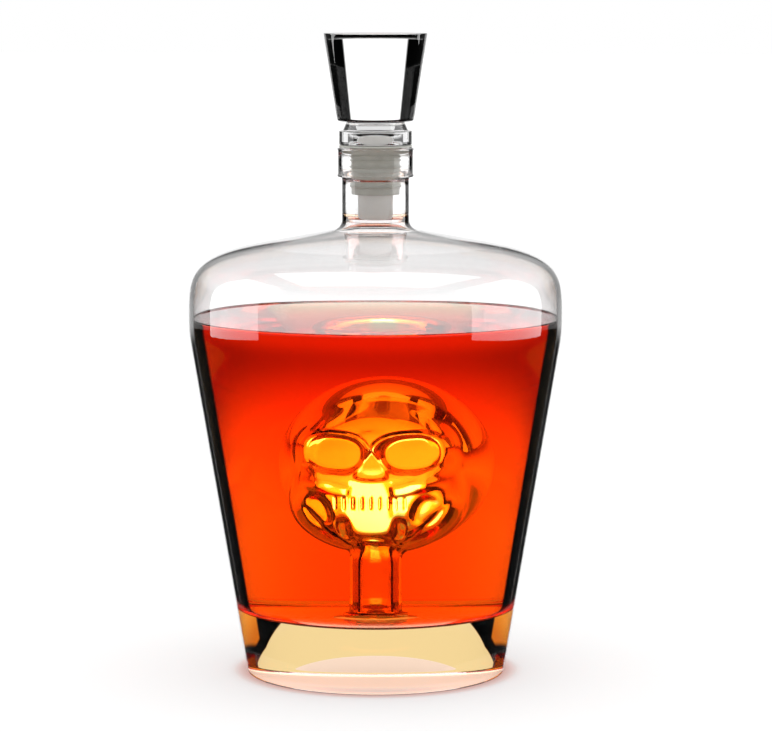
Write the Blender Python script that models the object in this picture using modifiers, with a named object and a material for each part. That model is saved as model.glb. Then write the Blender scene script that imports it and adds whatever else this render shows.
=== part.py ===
"""A liqueur carafe: a blown glass carafe with a hollow glass skull on a stem inside it, and a
solid glass stopper with a ribbed plug.

Metres, +Z up. The carafe stands on z = 0 with the Z axis as its own axis, and the skull looks
along -Y. Every part but the skull is turned round that axis.
"""

from math import atan2, cos, pi, radians, sin, tan

import bmesh
import bpy
import numpy as np

# The carafe's driving dimensions
BODY_RADIUS = 0.0718  # the belt, which is the widest ring
BELT_HEIGHT = 0.139
BODY_WALL = 0.00165
BODY_HEIGHT = 0.1742  # where the shoulder's flare meets the neck
SHOULDER_PITCH = radians(10.8)
SHOULDER_CONE_RADIUS = 0.046  # the straight shoulder ends here and rounds over
TAPER_TOP_HEIGHT = 0.120
TAPER_TOP_RADIUS = 0.0699
HEEL_HEIGHT = 0.0020
HEEL_RADIUS = 0.0500
FOOT_RADIUS = 0.0487
FOOT_RING_WIDTH = 0.0070
FOOT_RECESS = 0.0010
FLOOR_HEIGHT = 0.0255  # the top of the thick base
FLOOR_FILLET = 0.0040
BASE_SEAM_HEIGHT = 0.0325

# The neck
NECK_RADIUS = 0.01285
NECK_WALL = 0.00125
NECK_LENGTH = 0.0274  # from the flare to the lip
NECK_FLARE_RADIUS = 0.0040
BAND_RADIUS = 0.0141
BAND_LENGTH = 0.0110
BAND_EDGE = 0.0005  # the small bead at each end of the band
BAND_WALL = 0.00105
BAND_STEP_LENGTH = 0.0020

# The stopper
FLANGE_THICKNESS = 0.0006
COLLAR_RADIUS = 0.0139
COLLAR_HEIGHT = 0.0052
COLLAR_CORNER = 0.0009
GROOVE_HEIGHT = 0.0037
GROOVE_FOOT_RADIUS = 0.0123
GROOVE_TOP_RADIUS = 0.01115
HEAD_HEIGHT = 0.0333
HEAD_TOP_RADIUS = 0.0197
HEAD_FOOT_RADIUS = 0.0145
HEAD_CORNER = 0.0024
HEAD_RIM = 0.0006
PEG_RADIUS = 0.0067
PEG_LENGTH = 0.0330
PEG_CORNER = 0.0006
SOCKET_DEPTH = 0.0040
FLANGE_RADIUS = 0.0140
SLEEVE_RADIUS = 0.0092
SLEEVE_LENGTH = 0.0180
SLEEVE_CORNER = 0.0005
RIB_HEIGHT = 0.0007
RIB_WIDTH = 0.0012
RIB_COUNT = 6

# The skull and its stem
SKULL_HEIGHT = 0.0695
SKULL_WIDTH = 0.0545
SKULL_LENGTH = 0.0605
SKULL_SETBACK = 0.0158  # from the stem's axis back to the middle of the skull
SKULL_WALL = 0.0015
STEM_RADIUS = 0.0074
STEM_WALL = 0.0019
STEM_LENGTH = 0.0253
STEM_REACH = 0.0035  # how far the stem's end stands up into the skull's mouth
STEM_FLARE = 0.0012
STEM_FLARE_LENGTH = 0.0030
BEAD_RADIUS = 0.0092
BEAD_HEIGHT = 0.0016

# Fits
GAP = 0.0003  # between pieces that touch or are fused
OVERRUN = 0.004  # how far a cutter runs past what it cuts

# Facets
BODY_STEPS = 48
NECK_STEPS = 32
SLEEVE_STEPS = 28
STEM_STEPS = 24
SKULL_SEGMENTS = 40
SKULL_RINGS = 31

# Heights that follow from those
LIP_HEIGHT = BODY_HEIGHT + NECK_LENGTH
FLANGE_FOOT = LIP_HEIGHT + GAP
COLLAR_FOOT = FLANGE_FOOT + FLANGE_THICKNESS + GAP
GROOVE_FOOT = COLLAR_FOOT + COLLAR_HEIGHT
HEAD_FOOT = GROOVE_FOOT + GROOVE_HEIGHT
HEAD_TOP = HEAD_FOOT + HEAD_HEIGHT
SOCKET_TOP = COLLAR_FOOT + SOCKET_DEPTH
PEG_TOP = SOCKET_TOP - GAP
BEAD_TOP = FLOOR_HEIGHT + BEAD_HEIGHT
STEM_FOOT = BEAD_TOP + GAP
STEM_TOP = STEM_FOOT + STEM_LENGTH
SKULL_FOOT = STEM_TOP - STEM_REACH
TAPER = (TAPER_TOP_RADIUS - HEEL_RADIUS) / (TAPER_TOP_HEIGHT - HEEL_HEIGHT)


def clear_scene():
    for ob in list(bpy.data.objects):
        bpy.data.objects.remove(ob, do_unlink=True)


def new_collection(name):
    collection = bpy.data.collections.new(name)
    bpy.context.scene.collection.children.link(collection)
    return collection


def material(name, colour, roughness, transmission=0.0, ior=1.5):
    mat = bpy.data.materials.new(name)
    mat.use_nodes = True
    shader = mat.node_tree.nodes["Principled BSDF"]
    shader.inputs["Base Color"].default_value = (*colour, 1.0)
    shader.inputs["Roughness"].default_value = roughness
    shader.inputs["Metallic"].default_value = 0.0
    shader.inputs["Transmission Weight"].default_value = transmission
    shader.inputs["IOR"].default_value = ior
    mat.diffuse_color = (*colour, 1.0)
    return mat


def arc(centre_r, centre_z, radius, start, end, steps):
    """Points on an arc in the (r, z) plane, with angles in degrees from +r towards +z."""
    turns = [radians(start + (end - start) * i / steps) for i in range(steps + 1)]
    return [(centre_r + radius * cos(t), centre_z + radius * sin(t)) for t in turns]


def bezier(p0, p1, p2, p3, steps):
    """Points on a cubic curve, without its first one."""
    points = []
    for i in range(1, steps + 1):
        t = i / steps
        s = 1 - t
        weights = (s**3, 3 * s * s * t, 3 * s * t * t, t**3)
        points.append(tuple(sum(w * p[k] for w, p in zip(weights, (p0, p1, p2, p3))) for k in (0, 1)))
    return points


def inset(outline, depth):
    """The outline moved inwards by depth, where it runs down its outer side."""
    moved = []
    for i, (r, z) in enumerate(outline):
        before = outline[max(i - 1, 0)]
        after = outline[min(i + 1, len(outline) - 1)]
        heading = atan2(after[1] - before[1], after[0] - before[0])
        moved.append((r + depth * sin(heading), z - depth * cos(heading)))
    return moved


def turn(name, outline, steps, mat, collection, closed=True):
    """Turns an outline of (r, z) points round the Z axis. A closed outline is a ring of material;
    an open one starts and ends on the axis."""
    mesh = bpy.data.meshes.new(name)
    edges = [(i, i + 1) for i in range(len(outline) - 1)]
    if closed:
        edges.append((len(outline) - 1, 0))
    mesh.from_pydata([(r, 0.0, z) for r, z in outline], edges, [])
    ob = bpy.data.objects.new(name, mesh)
    collection.objects.link(ob)
    screw = ob.modifiers.new("Turn", "SCREW")
    screw.axis = "Z"
    screw.steps = steps
    screw.render_steps = steps
    screw.use_merge_vertices = True
    screw.merge_threshold = 0.00002
    screw.use_smooth_shade = True
    mesh.materials.append(mat)
    return ob


def cut(ob, cutter):
    boolean = ob.modifiers.new("Cut", "BOOLEAN")
    boolean.operation = "DIFFERENCE"
    boolean.solver = "EXACT"
    boolean.object = cutter
    cutter.hide_render = True
    cutter.display_type = "WIRE"


def taper_radius(height):
    return HEEL_RADIUS + (height - HEEL_HEIGHT) * TAPER


def body_outline():
    """The outside of the shoulder and wall, from the neck down to the seam of the base."""
    flare_centre = NECK_RADIUS + NECK_FLARE_RADIUS
    cone_turn = 270 - SHOULDER_PITCH * 180 / pi
    outline = arc(flare_centre, BODY_HEIGHT, NECK_FLARE_RADIUS, 180, cone_turn, 4)
    flare_end = outline[-1]
    cone_drop = (SHOULDER_CONE_RADIUS - flare_end[0]) * tan(SHOULDER_PITCH)
    cone_end = (SHOULDER_CONE_RADIUS, flare_end[1] - cone_drop)
    outline.append(cone_end)
    # The shoulder rounds over from the cone to the upright belt
    over, down = BODY_RADIUS - cone_end[0], cone_end[1] - BELT_HEIGHT
    over_share, down_share = 0.93, 0.55
    first = (
        cone_end[0] + over * over_share,
        cone_end[1] - over * over_share * tan(SHOULDER_PITCH),
    )
    second = (BODY_RADIUS, BELT_HEIGHT + down * down_share)
    outline += bezier(cone_end, first, second, (BODY_RADIUS, BELT_HEIGHT), 9)
    # The belt eases into the straight taper
    meet = TAPER_TOP_HEIGHT + (BODY_RADIUS - TAPER_TOP_RADIUS) / TAPER
    ease = (BODY_RADIUS, meet)
    outline += bezier(outline[-1], ease, ease, (TAPER_TOP_RADIUS, TAPER_TOP_HEIGHT), 3)
    outline.append((taper_radius(BASE_SEAM_HEIGHT + GAP), BASE_SEAM_HEIGHT + GAP))
    return outline


def make_body_shell(glass, collection):
    outside = body_outline()
    inside = inset(outside, BODY_WALL)
    # The wall thins to the neck's at the flare
    inside[0] = (NECK_RADIUS - NECK_WALL, outside[0][1])
    return turn("body_shell", outside + inside[::-1], BODY_STEPS, glass, collection)


def make_base(glass, collection):
    """The thick slug: a stub of the wall, the heel, the ring it stands on and a shallow recess."""
    rim = (taper_radius(BASE_SEAM_HEIGHT), BASE_SEAM_HEIGHT)
    heel = (HEEL_RADIUS, HEEL_HEIGHT)
    heel_ease = (HEEL_RADIUS - HEEL_HEIGHT * TAPER, 0.0)
    outline = [rim, heel]
    outline += bezier(heel, heel_ease, heel_ease, (FOOT_RADIUS, 0.0), 4)
    ring_inner = FOOT_RADIUS - FOOT_RING_WIDTH
    recess_ease_share = 0.5
    recess_ease = (ring_inner * recess_ease_share, FOOT_RECESS)
    outline.append((ring_inner, 0.0))
    outline += bezier(outline[-1], recess_ease, recess_ease, (0.0, FOOT_RECESS), 5)
    # Back over the bead, the floor and its fillet to the wall
    lean = atan2(TAPER, 1.0)
    rim_inside = (rim[0] - BODY_WALL * cos(lean), rim[1] + BODY_WALL * sin(lean))
    wall_run = (rim_inside[1] - FLOOR_HEIGHT - FLOOR_FILLET) * TAPER
    fillet_top = (rim_inside[0] - wall_run, FLOOR_HEIGHT + FLOOR_FILLET)
    fillet_foot = (fillet_top[0] - FLOOR_FILLET, FLOOR_HEIGHT)
    fillet_ease = (fillet_top[0] - FLOOR_FILLET * TAPER, FLOOR_HEIGHT)
    bead_shoulder = BEAD_RADIUS - BEAD_HEIGHT
    inside = [(0.0, BEAD_TOP), (bead_shoulder, BEAD_TOP)]
    bead_ease = (BEAD_RADIUS, BEAD_TOP)
    inside += bezier(inside[-1], bead_ease, bead_ease, (BEAD_RADIUS, FLOOR_HEIGHT), 3)
    inside.append(fillet_foot)
    inside += bezier(fillet_foot, fillet_ease, fillet_ease, fillet_top, 4)
    inside.append(rim_inside)
    return turn("glass_base", inside + outline, BODY_STEPS, glass, collection, closed=False)


def make_neck(glass, collection):
    """The neck tube, with a wider band of even wall at the lip and a bead at each end of it."""
    foot = BODY_HEIGHT + GAP
    band_foot = LIP_HEIGHT - BAND_LENGTH
    bore = NECK_RADIUS - NECK_WALL
    band_bore = BAND_RADIUS - BAND_WALL
    step_foot = band_foot - BAND_STEP_LENGTH
    lip_round = BAND_WALL / 2
    outline = arc(BAND_RADIUS, LIP_HEIGHT - BAND_EDGE, BAND_EDGE, 90, -60, 4)
    outline += arc(BAND_RADIUS, band_foot + BAND_EDGE, BAND_EDGE, 60, -90, 4)
    step_ease = (NECK_RADIUS, band_foot)
    outline += bezier(outline[-1], step_ease, step_ease, (NECK_RADIUS, step_foot), 3)
    outline.append((NECK_RADIUS, foot))
    outline.append((bore, foot))
    outline.append((bore, step_foot - BAND_WALL))
    bore_step_top = (band_bore, band_foot)
    outline += bezier(outline[-1], (bore, band_foot), (band_bore, step_foot), bore_step_top, 3)
    outline.append((band_bore, LIP_HEIGHT - lip_round))
    outline.append((band_bore + lip_round / 2, LIP_HEIGHT))
    return turn("neck", outline, NECK_STEPS, glass, collection)


def make_stopper_head(glass, collection):
    """The knob, the groove under it and the collar, with a blind socket for the peg."""
    head_slope = (HEAD_TOP_RADIUS - HEAD_FOOT_RADIUS) / HEAD_HEIGHT
    rim_foot = HEAD_TOP - HEAD_RIM
    corner_top = HEAD_FOOT + HEAD_CORNER
    corner_radius = HEAD_FOOT_RADIUS + HEAD_CORNER * head_slope
    outline = [(0.0, HEAD_TOP), (HEAD_TOP_RADIUS - HEAD_RIM, HEAD_TOP)]
    rim_ease = (HEAD_TOP_RADIUS, HEAD_TOP)
    rim_end = (HEAD_TOP_RADIUS - HEAD_RIM * head_slope, rim_foot)
    outline += bezier(outline[-1], rim_ease, rim_ease, rim_end, 2)
    outline.append((corner_radius, corner_top))
    under = HEAD_FOOT_RADIUS - HEAD_CORNER
    corner_ease = (HEAD_FOOT_RADIUS, HEAD_FOOT)
    outline += bezier(outline[-1], corner_ease, corner_ease, (under, HEAD_FOOT), 3)
    # The groove opens out towards the collar
    fillet = GROOVE_HEIGHT / 6
    outline.append((GROOVE_TOP_RADIUS, HEAD_FOOT - fillet))
    outline.append((GROOVE_FOOT_RADIUS, GROOVE_FOOT + fillet))
    outline.append((COLLAR_RADIUS - COLLAR_CORNER / 2, GROOVE_FOOT))
    outline.append((COLLAR_RADIUS, GROOVE_FOOT - COLLAR_CORNER / 2))
    collar_low = COLLAR_FOOT + COLLAR_CORNER
    outline.append((COLLAR_RADIUS, collar_low))
    collar_ease = (COLLAR_RADIUS, COLLAR_FOOT)
    collar_end = (COLLAR_RADIUS - COLLAR_CORNER, COLLAR_FOOT)
    outline += bezier(outline[-1], collar_ease, collar_ease, collar_end, 3)
    socket = PEG_RADIUS + GAP
    outline += [(socket, COLLAR_FOOT), (socket, SOCKET_TOP), (0.0, SOCKET_TOP)]
    return turn("stopper_head", outline, NECK_STEPS, glass, collection, closed=False)


def make_stopper_peg(plastic, collection):
    foot = PEG_TOP - PEG_LENGTH
    outline = [
        (0.0, PEG_TOP),
        (PEG_RADIUS - PEG_CORNER, PEG_TOP),
        (PEG_RADIUS, PEG_TOP - PEG_CORNER),
        (PEG_RADIUS, foot + PEG_CORNER),
        (PEG_RADIUS - PEG_CORNER, foot),
        (0.0, foot),
    ]
    return turn("stopper_peg", outline, STEM_STEPS, plastic, collection, closed=False)


def make_stopper_sleeve(plastic, collection):
    """The ribbed plug, with the flange that lies between the collar and the lip."""
    flange_top = FLANGE_FOOT + FLANGE_THICKNESS
    foot = FLANGE_FOOT - SLEEVE_LENGTH
    bore = PEG_RADIUS + GAP
    outline = [(bore, flange_top), (FLANGE_RADIUS, flange_top), (FLANGE_RADIUS, FLANGE_FOOT)]
    outline.append((SLEEVE_RADIUS, FLANGE_FOOT))
    pitch = (SLEEVE_LENGTH - SLEEVE_CORNER) / (RIB_COUNT + 1)
    for i in range(RIB_COUNT):
        crest = FLANGE_FOOT - pitch * (i + 1)
        outline.append((SLEEVE_RADIUS, crest + RIB_WIDTH / 2))
        outline.append((SLEEVE_RADIUS + RIB_HEIGHT, crest))
        outline.append((SLEEVE_RADIUS, crest - RIB_WIDTH / 2))
    outline.append((SLEEVE_RADIUS, foot + SLEEVE_CORNER))
    outline.append((SLEEVE_RADIUS - SLEEVE_CORNER, foot))
    outline.append((bore, foot))
    return turn("stopper_sleeve", outline, SLEEVE_STEPS, plastic, collection)


def make_skull_stem(glass, collection):
    """The tube under the skull, opened out a little where it is fused to the bead."""
    bore = STEM_RADIUS - STEM_WALL
    foot_radius = STEM_RADIUS + STEM_FLARE
    flare_top = STEM_FOOT + STEM_FLARE_LENGTH
    outline = [(STEM_RADIUS, STEM_TOP), (STEM_RADIUS, flare_top)]
    flare_ease = (STEM_RADIUS, STEM_FOOT)
    outline += bezier(outline[-1], flare_ease, flare_ease, (foot_radius, STEM_FOOT), 3)
    outline += [(bore, STEM_FOOT), (bore, STEM_TOP)]
    return turn("skull_stem", outline, STEM_STEPS, glass, collection)


# The skull's forms, in shares of SKULL_WIDTH, SKULL_LENGTH and SKULL_HEIGHT along X, Y and Z from
# the middle of the skull. The face looks along -Y. First the lumps that run together into the
# head: centre, then half-size.
SKULL_LUMP_shares = (
    ((0.0, 0.015, 0.0), (0.50, 0.485, 0.50)),  # bulb
    ((0.0, -0.25, -0.11), (0.41, 0.235, 0.30)),  # face
    ((0.0, -0.27, 0.06), (0.42, 0.185, 0.21)),  # brows
    ((0.0, -0.20, -0.22), (0.44, 0.27, 0.275)),  # jaw
    ((0.0, -SKULL_SETBACK / SKULL_LENGTH, -0.40), (0.19, 0.17, 0.115)),  # root round the stem
)
LUMP_BLEND_share = 0.07
HEART_shares = (0.0, -0.18, -0.10)  # the ball's own middle, nearer the face, where it is finest
# Half the face's width at each height, and how far it stands out from the bulb there
MASK_OUTLINE_shares = (
    (-0.47, 0.03), (-0.445, 0.15), (-0.39, 0.22), (-0.32, 0.29), (-0.22, 0.385), (-0.15, 0.43),
    (-0.05, 0.43), (0.05, 0.41), (0.15, 0.395), (0.24, 0.375), (0.32, 0.32), (0.40, 0.20), (0.45, 0.05),
)
MASK_RISE_shares = ((-0.46, 0.050), (-0.12, 0.050), (0.08, 0.030), (0.20, 0.018), (0.38, 0.0))
MASK_EDGE_share = 0.06
# Forms pushed back from the front, or out where below zero: (across, up), (half width, half
# height), steepness of the rim, narrowing upwards and depth. They come in pairs, left and right.
PUSHED_shares = (
    ((0.345, -0.105), (0.130, 0.050), 2.5, 0.0, -0.042),  # cheekbone
    ((0.215, -0.145), (0.110, 0.040), 2.5, 0.0, -0.030),  # cheekbone's root
    ((0.300, -0.265), (0.085, 0.075), 3.0, 0.1, 0.110),  # hollow of the cheek
    ((0.175, -0.385), (0.060, 0.055), 2.5, 0.0, 0.070),  # beside the chin
    ((0.355, 0.240), (0.075, 0.095), 2.0, 0.0, 0.050),  # temple
    ((0.210, 0.155), (0.200, 0.035), 2.0, 0.0, -0.030),  # brow
    ((0.0, 0.080), (0.050, 0.090), 2.0, 0.0, -0.035),  # between the brows
)
# Forms with a flat front at a set depth, the same way, the last value being that depth
FLAT_shares = (
    ((0.0, -0.232), (0.195, 0.080), 4.0, 0.0, -0.505),  # teeth
    ((0.0, -0.380), (0.110, 0.085), 4.0, 0.0, -0.490),  # chin
    ((0.218, 0.036), (0.150, 0.100), 4.5, 0.0, -0.365),  # eye socket
    ((0.0, -0.045), (0.080, 0.070), 4.0, 0.7, -0.410),  # nose
)


def ellipsoid_depth(points, centre, half):
    """Roughly how far outside an ellipsoid each point is, in shares of the skull's size."""
    scaled = (points - np.array(centre)) / np.array(half)
    length = np.linalg.norm(scaled, axis=1)
    slope = np.linalg.norm(scaled / np.array(half), axis=1)
    return length * (length - 1) / np.maximum(slope, 1e-9)


def head_depth(points):
    """Below zero inside the plain head, above zero outside it."""
    depth = ellipsoid_depth(points, *SKULL_LUMP_shares[0])
    for centre, half in SKULL_LUMP_shares[1:]:
        other = ellipsoid_depth(points, centre, half)
        mix = np.clip(0.5 + (other - depth) / (2 * LUMP_BLEND_share), 0, 1)
        depth = other + (depth - other) * mix - LUMP_BLEND_share * mix * (1 - mix)
    return depth


def head_reach(directions):
    """How far the plain head's surface lies from its heart in each direction, by halving."""
    near = np.zeros(len(directions))
    far = np.ones(len(directions))
    for _ in range(30):
        middle = (near + far) / 2
        outside = head_depth(directions * middle[:, None] + HEART_shares) > 0
        far = np.where(outside, middle, far)
        near = np.where(outside, near, middle)
    return near


def plateau(across, up, middle, half, rim, narrowing):
    """1 inside an oval form and 0 outside it."""
    v = (up - middle[1]) / half[1]
    u = (across - middle[0]) / (half[0] * np.clip(1 - narrowing * (v + 1) / 2, 0.1, 2.0))
    return 0.5 * (1 - np.tanh((np.hypot(u, v) - 1) * rim))


def face_front(x, y, z):
    """The depth that the face's front has at (x, z), where the plain head has y."""
    across = np.abs(x)
    outline = np.interp(z, *np.array(MASK_OUTLINE_shares).T)
    rise = np.interp(z, *np.array(MASK_RISE_shares).T)
    y = y - rise * 0.5 * (1 + np.tanh((outline - across) / MASK_EDGE_share * 2))
    for middle, half, rim, narrowing, push in PUSHED_shares:
        y = y + push * plateau(across, z, middle, half, rim, narrowing)
    for middle, half, rim, narrowing, front in FLAT_shares:
        y = y + (front - y) * plateau(across, z, middle, half, rim, narrowing)
    return y


def skull_places(directions):
    """The skull's surface in each direction, in shares of its size."""
    places = directions * head_reach(directions)[:, None] + HEART_shares
    x, y, z = places.T
    facing = np.clip(-directions[:, 1] * 3.0 - 0.2, 0, 1)
    moved = np.stack((x, y + (face_front(x, y, z) - y) * facing, z), axis=1)
    low, high = moved.min(axis=0), moved.max(axis=0)
    return (moved - (low + high) / 2) / (high - low)


def make_skull(glass, collection, cutters):
    """A ball drawn onto the skull's forms, thickened inwards and opened round the stem's end."""
    middle = SKULL_FOOT + SKULL_HEIGHT / 2
    bpy.ops.mesh.primitive_uv_sphere_add(segments=SKULL_SEGMENTS, ring_count=SKULL_RINGS, radius=1.0)
    ob = bpy.context.object
    ob.name = "skull"
    ob.data.name = "skull"
    for owner in list(ob.users_collection):
        owner.objects.unlink(ob)
    collection.objects.link(ob)
    places = np.array([v.co for v in ob.data.vertices])
    places /= np.linalg.norm(places, axis=1)[:, None]
    places = skull_places(places) * np.array((SKULL_WIDTH, SKULL_LENGTH, SKULL_HEIGHT))
    places += np.array((0.0, SKULL_SETBACK, middle))
    for vertex, place in zip(ob.data.vertices, places):
        vertex.co = place
    bm = bmesh.new()
    bm.from_mesh(ob.data)
    bmesh.ops.recalc_face_normals(bm, faces=bm.faces)
    bmesh.ops.triangulate(bm, faces=bm.faces, quad_method="SHORT_EDGE")
    bm.to_mesh(ob.data)
    bm.free()
    ob.data.shade_smooth()
    ob.data.materials.append(glass)
    shell = ob.modifiers.new("Shell", "SOLIDIFY")
    shell.thickness = SKULL_WALL
    shell.offset = -1.0
    mouth = turn(
        "skull_mouth",
        [
            (0.0, STEM_TOP + OVERRUN),
            (STEM_RADIUS + GAP, STEM_TOP + OVERRUN),
            (STEM_RADIUS + GAP, SKULL_FOOT - OVERRUN),
            (0.0, SKULL_FOOT - OVERRUN),
        ],
        STEM_STEPS,
        glass,
        cutters,
        closed=False,
    )
    cut(ob, mouth)
    return ob


def main():
    clear_scene()
    carafe = new_collection("liqueur_carafe")
    cutters = new_collection("cutters")
    glass = material("clear_glass", (0.97, 0.98, 0.98), 0.0, transmission=1.0)
    peg_plastic = material("peg_plastic", (0.74, 0.72, 0.70), 0.35)
    sleeve_plastic = material("sleeve_plastic", (0.55, 0.55, 0.50), 0.5)
    make_base(glass, carafe)
    make_body_shell(glass, carafe)
    make_neck(glass, carafe)
    make_skull_stem(glass, carafe)
    make_skull(glass, carafe, cutters)
    stopper = bpy.data.objects.new("stopper", None)
    stopper.location = (0.0, 0.0, LIP_HEIGHT)
    carafe.objects.link(stopper)
    pieces = [
        make_stopper_head(glass, carafe),
        make_stopper_peg(peg_plastic, carafe),
        make_stopper_sleeve(sleeve_plastic, carafe),
    ]
    bpy.context.view_layer.update()
    for piece in pieces:
        piece.parent = stopper
        piece.matrix_parent_inverse = stopper.matrix_world.inverted()


main()
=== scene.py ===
"""The looks of the liqueur carafe: continuous glass, the hollow glass skull, the liqueur, the
stopper and a pale studio. Metres, +Z up; the skull looks along -Y."""

from math import atan2, cos, degrees, pi, radians, sin, tan

import bpy
import numpy as np
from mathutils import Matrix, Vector


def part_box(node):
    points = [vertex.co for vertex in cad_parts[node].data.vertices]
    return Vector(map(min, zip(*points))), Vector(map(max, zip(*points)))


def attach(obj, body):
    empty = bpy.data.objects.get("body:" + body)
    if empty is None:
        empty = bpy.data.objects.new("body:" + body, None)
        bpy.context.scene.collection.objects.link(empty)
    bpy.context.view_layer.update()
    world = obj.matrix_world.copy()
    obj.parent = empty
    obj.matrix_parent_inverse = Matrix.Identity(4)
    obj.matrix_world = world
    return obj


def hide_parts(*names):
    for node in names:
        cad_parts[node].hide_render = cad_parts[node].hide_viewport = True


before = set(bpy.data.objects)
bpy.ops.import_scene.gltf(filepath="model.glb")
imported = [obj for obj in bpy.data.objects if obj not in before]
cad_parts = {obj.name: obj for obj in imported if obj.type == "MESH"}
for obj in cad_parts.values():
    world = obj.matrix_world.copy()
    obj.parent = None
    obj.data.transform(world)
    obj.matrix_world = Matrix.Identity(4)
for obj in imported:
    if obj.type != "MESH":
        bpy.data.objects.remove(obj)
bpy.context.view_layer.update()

# Heights and radii that the frame gives
_, NECK_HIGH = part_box("neck")
HEAD_LOW, HEAD_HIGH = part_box("stopper_head")
PEG_LOW, PEG_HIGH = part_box("stopper_peg")
SLEEVE_LOW, SLEEVE_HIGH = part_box("stopper_sleeve")
STEM_LOW, STEM_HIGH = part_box("skull_stem")
SKULL_LOW, SKULL_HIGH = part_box("skull")
LIP_HEIGHT = NECK_HIGH.z
AXIS = 1e-5  # an outline's ends stay this far off the axis

# The carafe's own sizes, as in the CAD
BODY_RADIUS = 0.0718
BELT_HEIGHT = 0.139
BODY_WALL = 0.00165
BODY_HEIGHT = 0.1742
SHOULDER_PITCH = radians(10.8)
SHOULDER_CONE_RADIUS = 0.046
TAPER_TOP_HEIGHT = 0.120
TAPER_TOP_RADIUS = 0.0699
HEEL_HEIGHT = 0.0020
HEEL_RADIUS = 0.0500
FOOT_RADIUS = 0.0487
FOOT_RING_WIDTH = 0.0070
FOOT_RECESS = 0.0010
FLOOR_HEIGHT = 0.0255
FLOOR_FILLET = 0.0040
BEAD_RADIUS = 0.0092
BEAD_HEIGHT = 0.0016
NECK_RADIUS = 0.01285
NECK_WALL = 0.00125
NECK_FLARE_RADIUS = 0.0040
BAND_RADIUS = 0.0141
BAND_LENGTH = 0.0110
BAND_EDGE = 0.0005
BAND_WALL = 0.00105
BAND_STEP_LENGTH = 0.0020
TAPER = (TAPER_TOP_RADIUS - HEEL_RADIUS) / (TAPER_TOP_HEIGHT - HEEL_HEIGHT)

# The stopper's
COLLAR_RADIUS = 0.0139
COLLAR_HEIGHT = 0.0052
COLLAR_CORNER = 0.0009
GROOVE_HEIGHT = 0.0037
GROOVE_FOOT_RADIUS = 0.0123
GROOVE_TOP_RADIUS = 0.01115
HEAD_TOP_RADIUS = 0.0197
HEAD_FOOT_RADIUS = 0.0145
HEAD_CORNER = 0.0024
HEAD_RIM = 0.0006
PEG_CORNER = 0.0006
SOCKET_DEPTH = 0.0040
SLEEVE_RADIUS = 0.0092
SLEEVE_CORNER = 0.0005
FLANGE_THICKNESS = 0.0006
FLANGE_EDGE = 0.0002
RIB_COUNT = 6
RIB_REACH = 0.0010  # from a rib's crest down or up to its root
RIB_RISE = 0.0005
RIB_TIP = 0.0002
RIB_TOE = 0.0001
GAP = 0.0003  # between the peg and its socket

# The skull's
SKULL_WALL = 0.0015
SKULL_WIDTH = 0.0545
SKULL_LENGTH = 0.0605
STEM_RADIUS = 0.0074
STEM_FLARE = 0.0012
STEM_FLARE_LENGTH = 0.0030
STEM_TOP_DROP = 0.0025  # the straight stem starts this far under the skull
STEM_BLEND = 0.0015
STEM_BLEND_RINGS = 14
STEM_MOUTH_share = 1.25  # the skull gives way to the stem where it is this many stems wide

# The liqueur
LIQUID_LEVEL = 0.1368
LIQUID_AIR = 0.0003  # the thin air film between the liqueur and the wall
LIQUID_BITE = 0.0001  # where the liqueur wets the glass, it overlaps it this much
MENISCUS_RISE = 0.0005
MENISCUS_WIDTH = 0.0022
LIQUID_MARGIN = 0.010  # so much wall above the belt is looked at for its rim
# The liqueur's outer wall is painted black where it is seen edge-on: painted shade at its rim.
RIM_RADIUS = 0.040  # outside this its wall is dark where it is seen edge-on
RIM_START = 69.5  # degrees from square on
RIM_END = 72

TURNS = 192  # facets round the carafe
FINE_TURNS = 128

# The camera stands 8 degrees to the right of the skull's gaze
CAMERA_TURN = radians(8.0)
CAMERA_DISTANCE = 1.249
CAMERA_HEIGHT = 0.2616
CAMERA_SIDE = 0.0040
TARGET_HEIGHT = 0.1179
CAMERA_LENS = 152.8

# Clear glass, the liqueur, and how far thin glass turns pale where it is seen edge-on
WHITE = (1.0, 1.0, 1.0)
BLACK = (0.0, 0.0, 0.0)
GLASS_IOR = 1.5
LIQUEUR_IOR = 1.36
LIQUEUR_COLOUR = (0.991, 0.84, 0.56)
LIQUEUR_DENSITY = 160.0
SOFT_EDGE = 0.85
SOFT_EDGE_START = 0.84
SOFT_EDGE_END = 0.90
WAVE_DEPTH = 0.0002
BLOWN_WAVES = (30.0, 0.02)  # their scale and strength
SKULL_WAVES = (60.0, 0.03)
# The stem's brownish tint below its clear end is painted shade.
STEM_PAINTED_SHADE = (0.62, 0.40, 0.25)
STEM_CLEAR = 0.0035  # the stem's end inside the skull is clear
STEM_CLEAR_BLUR = 0.001

# The plastics: colour, the darker colour of the grain, and roughness
PEG_LOOK = ((0.90, 0.89, 0.86), (0.84, 0.83, 0.80), 0.35)
SLEEVE_LOOK = ((0.62, 0.62, 0.57), (0.54, 0.54, 0.49), 0.5)
PLASTIC_GRAIN = 260.0
PLASTIC_CLOUD = 0.2
PLASTIC_CLOUD_DEPTH = 0.002
PLASTIC_BUMP = 0.15
PLASTIC_BUMP_DEPTH = 0.0001

# How many glass faces a ray has passed at most in solid glass, at least in the liqueur, and at
# least in the hollow skull
SOLID_FACES = 2.5
FILLED_FACES = 5.5
HOLLOW_FACES = 8.5

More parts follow.
